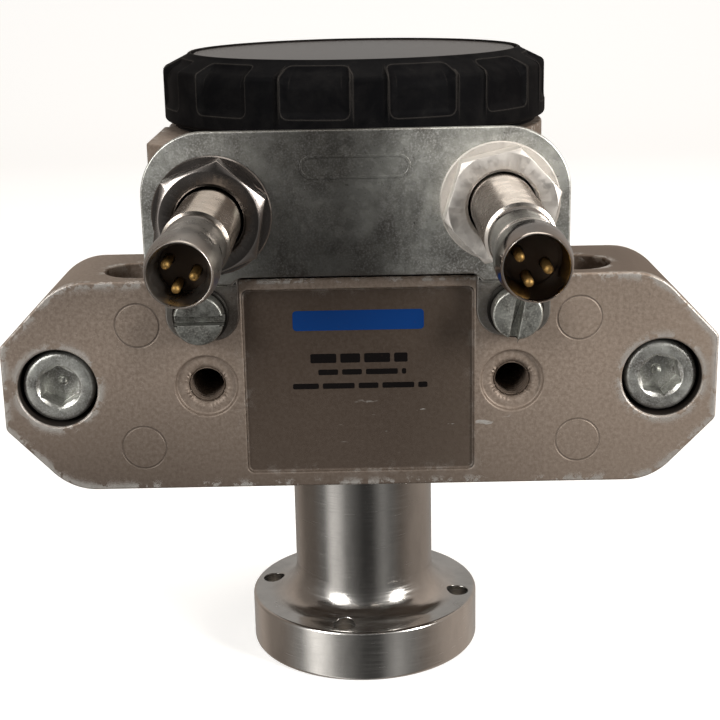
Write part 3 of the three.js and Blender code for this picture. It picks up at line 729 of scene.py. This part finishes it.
def label_print():
    """Generic print: a plain blue bar over rows of long plain dark bars."""
    surface = FRONT + LABEL_DEPTH
    high = ROW_Z + LABEL[2]
    bar = rounded_rect(-8.6, 8.6, high - 5.6, high - 2.9, 0.5, 4)
    blue = prism("blue_bar", bar, surface - 0.03, surface + 0.02, "y")
    finish(blue, "label_blue_bar", "housing", "cast_housing", BLUE_INK)
    picker = random.Random(7)
    dashes = []
    for row, (start, end, height) in enumerate(DASH_ROWS):
        z = high - 9.4 - row * 1.9
        x = start
        while x < end:
            width = min(picker.choice((2.6, 3.4, 4.2)), end - x + 0.2)
            outline = rounded_rect(x, x + width, z - height / 2, z + height / 2, 0.18, 3)
            dashes.append(prism("tool", outline, surface - 0.03, surface + 0.02, "y"))
            x += width + 0.55
    finish(merged(dashes), "label_dark_dashes", "housing", "cast_housing", DARK_INK)


# ------------------------------------------------------------------ upper housing
LUG_FRONT = -26.6
DECK_TOP = 67.9


def upper_housing():
    outline = rounded_rect(-DECK.x1, DECK.x1, FRONT + 1, PLATE.y1, BODY_CORNER)
    body = prism("deck", outline, DECK.z0, DECK_TOP)
    x = DECK.x0
    lug = [(x, -4), (x, LUG_FRONT + 4.5), (x + 3.6, LUG_FRONT), (-9, LUG_FRONT), (-9, -4)]
    wall = cylinder(26.8, DECK.z0 + 1, DECK.z1, segments=144)
    combine(body, [wall], "UNION")
    combine(body, [prism("tool", lug, DECK.z0 + 1, DECK.z1)], "UNION")
    tools = [
        cylinder(COVER_SEAT_R, DECK_TOP, DECK.z1 + 1, segments=128),
        cylinder(9.3, DECK.z0 - 1, 67),
        cylinder(SHAFT_BORE_R, 66, DECK_TOP + 1),
    ]
    for side, _ in SIDES:
        sensor = Span(f"sensor_barrel_{side}")
        tools.append(bore_y(4.5, FRONT, -9, sensor.x, sensor.z))
        clamp = Span(f"stop_screw_{side}")
        tools.append(cylinder(1.1, DECK_TOP - 3, DECK_TOP + 1, clamp.x, clamp.y, 32))
    for number in range(1, 5):
        screw = Span(f"housing_screw_{number}")
        tools.append(cylinder(2.3, DECK.z0 - 1, screw.z1 + 0.6, screw.x, screw.y, 48))
    cut(body, *tools)
    rounded(body, 0.3)
    finish(body, "upper_housing_body", "housing", "cast_housing", CAST, "upper_housing")


# ------------------------------------------------------------------ screws
def socket_screw(node, r, head_r, head_height, flats, turn, along="z"):
    """A cap screw made along Z, head low, as long as its CAD node is along y or z."""
    span = Span(node)
    length = (span.y1 - span.y0) if along == "y" else (span.z1 - span.z0)
    edge = 0.8
    profile = [(0, 0), (head_r - edge, 0)]
    profile += arc(head_r - edge, edge, edge, -90, 0, 5)[1:]
    profile += [(head_r, head_height - 0.15), (head_r - 0.15, head_height), (r, head_height)]
    z = head_height + 1.5
    while z < length - 1.4:
        profile += [(r, z), (r - 0.3, z + 0.4)]
        z += 0.8
    profile += [(r - 0.2, length - 0.7), (r - 0.7, length), (0, length)]
    screw = lathe(node, profile, 72)
    corner = flats / math.sqrt(3)
    socket = prism("tool", arc(0, 0, corner, turn, turn + 300, 5), -1, head_height * 0.55)
    flare = lathe("tool", [(0, -0.1), (corner + 0.25, -0.1), (corner - 0.25, 0.35), (0, 0.35)], 48)
    drill = lathe("tool", [(0, 1), (flats * 0.42, 1), (0, head_height * 0.55 + 1.1)], 32)
    cut(screw, socket, flare, drill)
    rounded(screw, 0.06, 2, 40)
    return screw


def mounting_screws():
    for side, sign in SIDES:
        node = f"mounting_screw_{side}"
        span = Span(node)
        screw = socket_screw(node, 3, span.r, 6, 5, 30 if sign < 0 else 18, "y")
        facing_front(screw, span.x, span.y0, span.z)
        finish(screw, f"cap_screw_{side}", "housing", "zinc", BRIGHT_ZINC, node)


def housing_screws():
    for number in range(1, 5):
        node = f"housing_screw_{number}"
        span = Span(node)
        screw = moved(socket_screw(node, 2, 3.5, 4, 3, 30), span.x, span.y, span.z0)
        finish(screw, f"body_screw_{number}", "housing", "zinc", ZINC, node)


def bracket_screws():
    for side, sign in SIDES:
        node = f"bracket_screw_{side}"
        span = Span(node)
        r, edge = span.r, 0.35
        profile = [(0, 0), (r - edge, 0)] + arc(r - edge, edge, edge, -90, 0, 5)[1:]
        profile += [(r, 2.45), (r - 0.15, 2.6), (1.9, 2.6), (1.9, 10), (0, 10)]
        screw = lathe(node, profile, 96)
        slot = turned(box(-5, 5, -0.55, 0.55, -1, 1.6), 0 if sign < 0 else 100)
        cut(screw, slot)
        rounded(screw, 0.14, 2, 40)
        facing_front(screw, span.x, span.y0, span.z)
        # The left screw gets the shaded copy and the right the lit one.
        look = SHADED_ZINC if side == "left" else LIT_MOTTLED_ZINC
        finish(screw, f"slotted_screw_{side}", "housing", "zinc", look, node)
        washer = f"bracket_washer_{side}"
        span = Span(washer)
        r = span.r
        profile = [(2.2, 0.12), (2.35, 0), (r - 0.2, 0), (r, 0.2), (r, 0.9), (2.2, 0.9)]
        disc = lathe(washer, profile, 96)
        facing_front(disc, span.x, span.y0, span.z)
        finish(disc, f"black_washer_{side}", "housing", "black_steel", BLACK_STEEL, washer)


# ------------------------------------------------------------------ sensor bracket
PANEL_CORNER = 8.0
NECK_INNER = 16.5
NECK_LOW = 63.5
SHEET_THICK = 1.5
JOGGLE_Z = (63.3, 65.6)
FOOT_TOP = 67
PANEL_Z0 = 64.4
# The bracket's feet: distance from the middle, half width, corner radius.
FOOT = (20.15, 4.8, 3.4)


def panel_outline():
    half, top = BRACKET.x1, BRACKET.z1
    end = math.degrees(math.asin((NECK_LOW - PANEL_Z0 + 2) / 2))
    side = arc(NECK_INNER - 2, PANEL_Z0 - 2, 2, 90, end, 8)
    side += arc(half - 3, NECK_LOW + 3, 3, -90, 0, 8)
    side += arc(half - PANEL_CORNER, top - PANEL_CORNER, PANEL_CORNER, 0, 90, 20)
    return side + [(-x, z) for x, z in side][::-1]


def sensor_bracket():
    front = BRACKET.y0
    sheet = prism("bracket", panel_outline(), front, front + SHEET_THICK, "y")
    back = BRACKET.y1
    for _, sign in SIDES:
        x = sign * FOOT[0]
        outline = rounded_rect(x - FOOT[1], x + FOOT[1], BRACKET.z0, FOOT_TOP, FOOT[2], 10)
        foot = prism("tool", outline, back - SHEET_THICK, back, "y")
        joggle = box(x - FOOT[1], x + FOOT[1], front + 0.4, back, *JOGGLE_Z)
        combine(sheet, [foot, joggle], "UNION", overlapping=True)
    tools = []
    for side, _ in SIDES:
        foot = Span(f"bracket_screw_{side}")
        tools.append(bore_y(2.2, back - 3, back + 1, foot.x, foot.z))
        sensor = Span(f"sensor_barrel_{side}")
        tools.append(bore_y(4.3, front - 1, front + 3, sensor.x, sensor.z))
    cut(sheet, *tools)
    rounded(sheet, 0.22)
    finish(sheet, "bracket_sheet", "housing", "zinc", SHEET, "sensor_bracket")
    stamped_mark(front)


def stamped_mark(front):
    """A plain stamped oval outline where the bracket carries its mark."""
    z = BRACKET.z1 - 4.6
    outer = rounded_rect(-7, 7, z - 1.5, z + 1.5, 1.49, 12)
    inner = rounded_rect(-6.65, 6.65, z - 1.15, z + 1.15, 1.14, 12)
    mark = prism("mark", outer, front - 0.12, front + 0.1, "y")
    cut(mark, prism("tool", inner, front - 1, front + 1, "y"))
    rounded(mark, 0.06, 2)
    finish(mark, "bracket_stamped_oval", "housing", "zinc", SHEET)


# ------------------------------------------------------------------ sensors
THREAD_PITCH = 0.5
THREAD_DEPTH = 0.13
NUT_FLATS = 13


def sensor_barrel(side, look):
    node = f"sensor_barrel_{side}"
    span = Span(node)
    length = span.y1 - span.y0
    r = span.r
    profile = [(0, 0), (r - 0.35, 0), (r - 0.35, 0.7)]
    z = 0.9
    while z < length - 5:
        profile += [(r, z), (r, z + 0.12), (r - THREAD_DEPTH, z + 0.3)]
        z += THREAD_PITCH
    profile += [(r - 0.15, length - 4.6), (r - 0.15, length - 0.5), (r - 0.5, length), (0, length)]
    barrel = lathe(node, profile, 72)
    facing_front(barrel, span.x, span.y0, span.z)
    finish(barrel, f"threaded_barrel_{side}", "housing", "nickel", look, node)


def plug_shell(side):
    node = f"plug_shell_{side}"
    span = Span(node)
    r, back = span.r, span.y1 - span.y0
    bed, mouth, groove = 3.15, 2.72, r - 0.44
    profile = [(bed, 5.1), (mouth, 4.9), (mouth, 3.6), (2.85, 2.4), (3.05, 1.3), (3.25, 0.45)]
    profile += [(3.33, 0.14), (3.40, 0.02), (3.46, 0), (3.54, 0.06), (3.62, 0.25), (3.70, 0.65)]
    profile += [(3.80, 1.15), (3.90, 1.8), (3.97, 2.4), (r, 3.0), (r, 5.2), (r - 0.06, 5.9)]
    profile += [(r - 0.22, 6.9), (r - 0.37, 7.8), (groove, 8.8), (groove, back - 1)]
    profile += [(r - 0.36, back - 0.6), (r - 0.3, back - 0.2), (r - 0.4, back), (bed, back)]
    shell = lathe(node, profile, 96)
    facing_front(shell, span.x, span.y0, span.z)
    # The left plug gets the darker copy as painted shade.
    look = SHADED_SATIN_PLUG if side == "left" else POLISHED
    finish(shell, f"plug_end_{side}", "housing", "nickel", look, node)


def sensor_inside(side):
    node = f"sensor_insert_{side}"
    span = Span(node)
    depth = span.y1 - span.y0
    insert = lathe(node, [(0, 0), (2.75, 0), (2.98, 0.25), (2.98, depth), (0, depth)], 64)
    facing_front(insert, span.x, span.y0, span.z)
    holes = []
    for number in range(1, 4):
        pin = Span(f"sensor_pin_{side}_{number}")
        holes.append(bore_y(0.62, span.y0 - 1, span.y0 + 3, pin.x, pin.z, 24))
    cut(insert, *holes)
    finish(insert, f"contact_carrier_{side}", "housing", "dark_insert", INSERT, node)
    for number in range(1, 4):
        node = f"sensor_pin_{side}_{number}"
        span = Span(node)
        length = span.y1 - span.y0
        profile = arc(0, 0.5, 0.5, -90, 0, 6) + [(0.5, length), (0, length)]
        pin = facing_front(lathe(node, profile, 32), span.x, span.y0, span.z)
        finish(pin, f"contact_pin_{side}_{number}", "housing", "gold_pins", GOLD, node)


def hexagon_nut(side, turn, look, face, bevel):
    node = f"sensor_nut_{side}"
    span = Span(node)
    thick = span.y1 - span.y0
    corner = NUT_FLATS / math.sqrt(3)
    rim = corner + 0.05
    profile = [(0, 0), (face, 0), (rim, bevel), (rim, thick - 0.5), (6.6, thick), (0, thick)]
    nut = lathe(node, profile, 144)
    block = prism("tool", arc(0, 0, corner, turn, turn + 300, 5), -1, thick + 1)
    combine(nut, [block], "INTERSECT")
    hole = [(0, -0.1), (4.75, -0.1), (4.3, 0.45), (4.3, thick + 1), (0, thick + 1)]
    cut(nut, lathe("tool", hole, 96), overlapping=False)
    rounded(nut, 0.08, 2, 25)
    facing_front(nut, span.x, span.y0, span.z)
    finish(nut, f"hex_nut_{side}", "housing", "nickel", look, node)


def washers(side, look):
    node = f"lock_washer_{side}"
    span = Span(node)
    r, thick = span.r, span.y1 - span.y0
    profile = [(4.35, 0.1), (4.45, 0), (r - 0.15, 0), (r, 0.15), (r, thick), (4.35, thick)]
    disc = facing_front(lathe(node, profile, 128), span.x, span.y0, span.z)
    finish(disc, f"nut_washer_{side}", "housing", "nickel", look, node)
    node = f"clinch_nut_{side}"
    span = Span(node)
    thick = span.y1 - span.y0
    profile = [(4.3, 0), (5.5, 0), (5.6, 0.15), (5.6, thick - 0.15), (5.5, thick), (4.3, thick)]
    ring = facing_front(lathe(node, profile, 96), span.x, span.y0, span.z)
    finish(ring, f"clinch_ring_{side}", "housing", "zinc", ZINC, node)


def sensors():
    # The left sensor gets the darker copies as painted shade, the right the lighter ones as painted
    # light.
    for side, turn, look, thread, face, bevel in (
        ("left", 40, SHADED_NUT_GLOSS, SHADED_THREAD, 6.2, 0.75),
        ("right", 47, LIT_NUT_SATIN, LIT_THREAD, 6.75, 0.46),
    ):
        sensor_barrel(side, thread)
        plug_shell(side)
        sensor_inside(side)
        hexagon_nut(side, turn, look, face, bevel)
        washers(side, look)


# ------------------------------------------------------------------ cover
COVER_BAND = 88.9
COVER_RIM = 23.5
WINDOWS = 12
WINDOW_PHASE = -130.7
WINDOW_SPAN = 20.5
WINDOW_DEPTH = 0.5


def cover_profile():
    r, z0, z1 = COVER.r, COVER.z0, COVER.z1
    outside = [(0, 88), (21.8, 88), (21.8, z0 + 3), (22.9, z0 + 1), (22.9, z0), (r - 1.4, z0)]
    outside += [(r - 1.15, z0 + 0.6)] + arc(r - 0.5, z0 + 1.3, 0.5, -90, 0, 5)
    outside += [(r, COVER_BAND - 0.4), (r - 0.06, COVER_BAND), (r - 0.3, COVER_BAND + 0.3)]
    outside += [(COVER_RIM + 0.35, z1 - 0.35), (COVER_RIM + 0.1, z1 - 0.08), (COVER_RIM - 0.05, z1)]
    outside += [(COVER_RIM - 0.25, z1), (COVER_RIM - 0.35, z1 - 0.15), (COVER_RIM - 0.4, z1 - 1.5)]
    return outside + [(0, z1 - 1.5)]


def cover_window(index):
    r, z1 = COVER.r, COVER.z1
    floor = r - WINDOW_DEPTH
    profile = [
        (floor, COVER.z0 + 2.5), (r + 2, COVER.z0 + 2.5), (r + 2, z1 + 1.2),
        (COVER_RIM + 1.2, z1 + 1.2), (COVER_RIM + 0.5, z1 - 0.85), (floor, COVER_BAND - 0.25),
    ]
    middle = WINDOW_PHASE + index * 360 / WINDOWS
    pocket = lathe("tool", profile, 10, middle - WINDOW_SPAN / 2, WINDOW_SPAN)
    return rounded(pocket, 1.3, 5, 50)


def cover():
    body = lathe("cover", cover_profile(), 192)
    for i in range(WINDOWS):
        cut(body, cover_window(i))
    finish(body, "ribbed_cover", "housing", "black_plastic", BLACK, "cover")
    span = Span("cover_disc")
    thick = span.z1 - span.z0 + 0.3
    r = COVER_RIM - 0.5
    profile = [(0, 0), (r, 0), (r, thick - 0.35)]
    profile += arc(r - 0.35, thick - 0.35, 0.35, 0, 90, 5)[1:] + [(0, thick)]
    disc = moved(lathe("disc", profile, 160), 0, 0, span.z0)
    finish(disc, "gloss_disc_top", "housing", "gloss_plastic", GLOSSY, "cover_disc")


# ------------------------------------------------------------------ output hub
FLANGE_TOP = 7.85
STEM_R = 10.6
FILLET = 4.5
HOLE_CIRCLE = 14.8
HOLE_R = 1.65
HOLE_ANGLE = 78


def output_hub():
    r = HUB.r
    profile = [(0, 0), (r - 0.7, 0)] + arc(r - 0.7, 0.7, 0.7, -90, 0, 6)[1:]
    profile += arc(r - 0.5, FLANGE_TOP - 0.5, 0.5, 0, 90, 6)
    profile += arc(STEM_R + FILLET, FLANGE_TOP + FILLET, FILLET, 270, 180, 20)
    profile += [(STEM_R, HUB.z1 - 0.5), (STEM_R - 0.5, HUB.z1), (0, HUB.z1)]
    hub = lathe("hub", profile, 192)
    tools = [cylinder(6.3, 8.6, HUB.z1 + 1, segments=96)]
    tools.append(turned(box(4, 7.8, -1.7, 1.7, 12, HUB.z1 + 1), HOLE_ANGLE))
    set_screw = bore_y(2.2, 7, 12, 0, 22)
    tools.append(turned(set_screw, HOLE_ANGLE - 90))
    for quarter in range(4):
        a = math.radians(HOLE_ANGLE + 90 * quarter)
        x, y = HOLE_CIRCLE * math.cos(a), HOLE_CIRCLE * math.sin(a)
        tools.append(cylinder(HOLE_R, -1, FLANGE_TOP + 5, x, y, 48))
    cut(hub, *tools)
    rounded(hub, 0.1, 2, 35)
    finish(hub, "flanged_hub", "rotor", "turned_steel", STEEL, "output_hub")


# ------------------------------------------------------------------ stage, light and camera
def stage():
    """A pale floor that curves up into a backdrop."""
    bm = bmesh.new()
    outline = [(-0.9, 0), (0.55, 0)] + arc(0.55, 0.45, 0.45, -90, 0, 16)[1:] + [(1.0, 1.6)]
    rows = [[bm.verts.new((x, y, z)) for y, z in outline] for x in (-1.6, 1.6)]
    for i in range(len(outline) - 1):
        bm.faces.new((rows[0][i], rows[1][i], rows[1][i + 1], rows[0][i + 1]))
    floor = from_bmesh("pale_floor", bm)
    floor.data.shade_smooth()
    look = Look("pale_paper", (0.86, 0.86, 0.85), 0.0, 0.7)
    look.set("Emission Color", (1, 1, 1, 1))
    look.set("Emission Strength", 0.5)
    look.bump((look.noise(1.5, 3), 0.03, 0.05))
    floor.data.materials.append(look.material)
    floor.visible_glossy = False
    floor.visible_diffuse = False


def area_light(name, place, aim, size, power, color):
    data = bpy.data.lights.new(name, "AREA")
    data.shape = "RECTANGLE"
    data.size, data.size_y = size
    data.energy = power
    data.color = color
    lamp = bpy.data.objects.new(name, data)
    bpy.context.scene.collection.objects.link(lamp)
    lamp.location = place
    lamp.rotation_euler = (Vector(aim) - Vector(place)).to_track_quat("-Z", "Y").to_euler()


def lighting():
    middle = (0, 0, 0.05)
    area_light("overhead", (0.05, 0.10, 0.62), middle, (0.55, 0.45), 1.4, (1, 0.95, 0.88))
    area_light("front_left", (-0.50, -0.55, 0.42), middle, (0.30, 0.45), 3.5, (1, 0.98, 0.95))
    area_light("front_right", (0.55, -0.40, 0.30), middle, (0.16, 0.40), 4.8, (1, 0.97, 0.93))
    room()


COOL, WARM = (1.0, 0.97, 0.93), (1.0, 0.84, 0.72)
# How bright the room is at each place round it: turn from 0 to 1, level, tint.
ROOM_STOPS = (
    (0.00, 0.18, WARM), (0.06, 0.26, COOL), (0.10, 1.15, COOL), (0.135, 0.85, COOL),
    (0.17, 0.28, COOL), (0.21, 0.14, COOL), (0.25, 0.05, COOL), (0.29, 0.06, COOL),
    (0.34, 0.34, COOL), (0.38, 0.18, COOL), (0.43, 0.16, WARM), (0.50, 0.36, WARM),
    (0.60, 0.45, WARM), (0.75, 0.34, COOL), (0.88, 0.36, WARM), (0.93, 0.20, WARM),
    (1.00, 0.18, WARM),
)


def room():
    """A dim warm room with brighter stretches round it, for the metal to reflect."""
    world = bpy.data.worlds.new("soft_room")
    world.use_nodes = True
    bpy.context.scene.world = world
    tree = world.node_tree
    around = tree.nodes.new("ShaderNodeTexGradient")
    around.gradient_type = "RADIAL"
    place = tree.nodes.new("ShaderNodeTexCoord").outputs["Generated"]
    tree.links.new(place, around.inputs["Vector"])
    ramp = tree.nodes.new("ShaderNodeValToRGB")
    tree.links.new(around.outputs["Fac"], ramp.inputs["Fac"])
    stops = ramp.color_ramp.elements
    stops[0].position, stops[1].position = ROOM_STOPS[0][0], ROOM_STOPS[-1][0]
    for position, _, _ in ROOM_STOPS[1:-1]:
        stops.new(position)
    for stop, (_, level, tint) in zip(stops, ROOM_STOPS):
        stop.color = (*(level * c for c in tint), 1)
    shade = tree.nodes["Background"]
    tree.links.new(ramp.outputs["Color"], shade.inputs["Color"])
    shade.inputs["Strength"].default_value = 0.9


CAMERA_PLACE = (0.001097, -0.212761, 0.104354)
CAMERA_LENS = 72.9
PITCH, YAW, ROLL = 15.674, -0.299, 1.175


def camera():
    data = bpy.data.cameras.new("camera")
    data.lens = CAMERA_LENS
    data.sensor_width = 36
    data.clip_start = 0.005
    eye = bpy.data.objects.new("camera", data)
    bpy.context.scene.collection.objects.link(eye)
    pitch, yaw, roll = (math.radians(v) for v in (PITCH, YAW, ROLL))
    level = math.cos(pitch)
    ahead = Vector((math.sin(yaw) * level, math.cos(yaw) * level, -math.sin(pitch)))
    right = Vector((math.cos(yaw), -math.sin(yaw), 0))
    down = ahead.cross(right)
    tilted_right = math.cos(roll) * right + math.sin(roll) * down
    tilted_down = math.cos(roll) * down - math.sin(roll) * right
    columns = Matrix((tilted_right, -tilted_down, -ahead)).transposed()
    eye.matrix_world = Matrix.Translation(CAMERA_PLACE) @ columns.to_4x4()
    bpy.context.scene.camera = eye


# ------------------------------------------------------------------ build
dress_cad_nodes()
main_housing()
label_print()
upper_housing()
mounting_screws()
housing_screws()
sensor_bracket()
bracket_screws()
sensors()
cover()
output_hub()
stage()
lighting()
camera()
bpy.context.scene.view_settings.view_transform = "Standard"
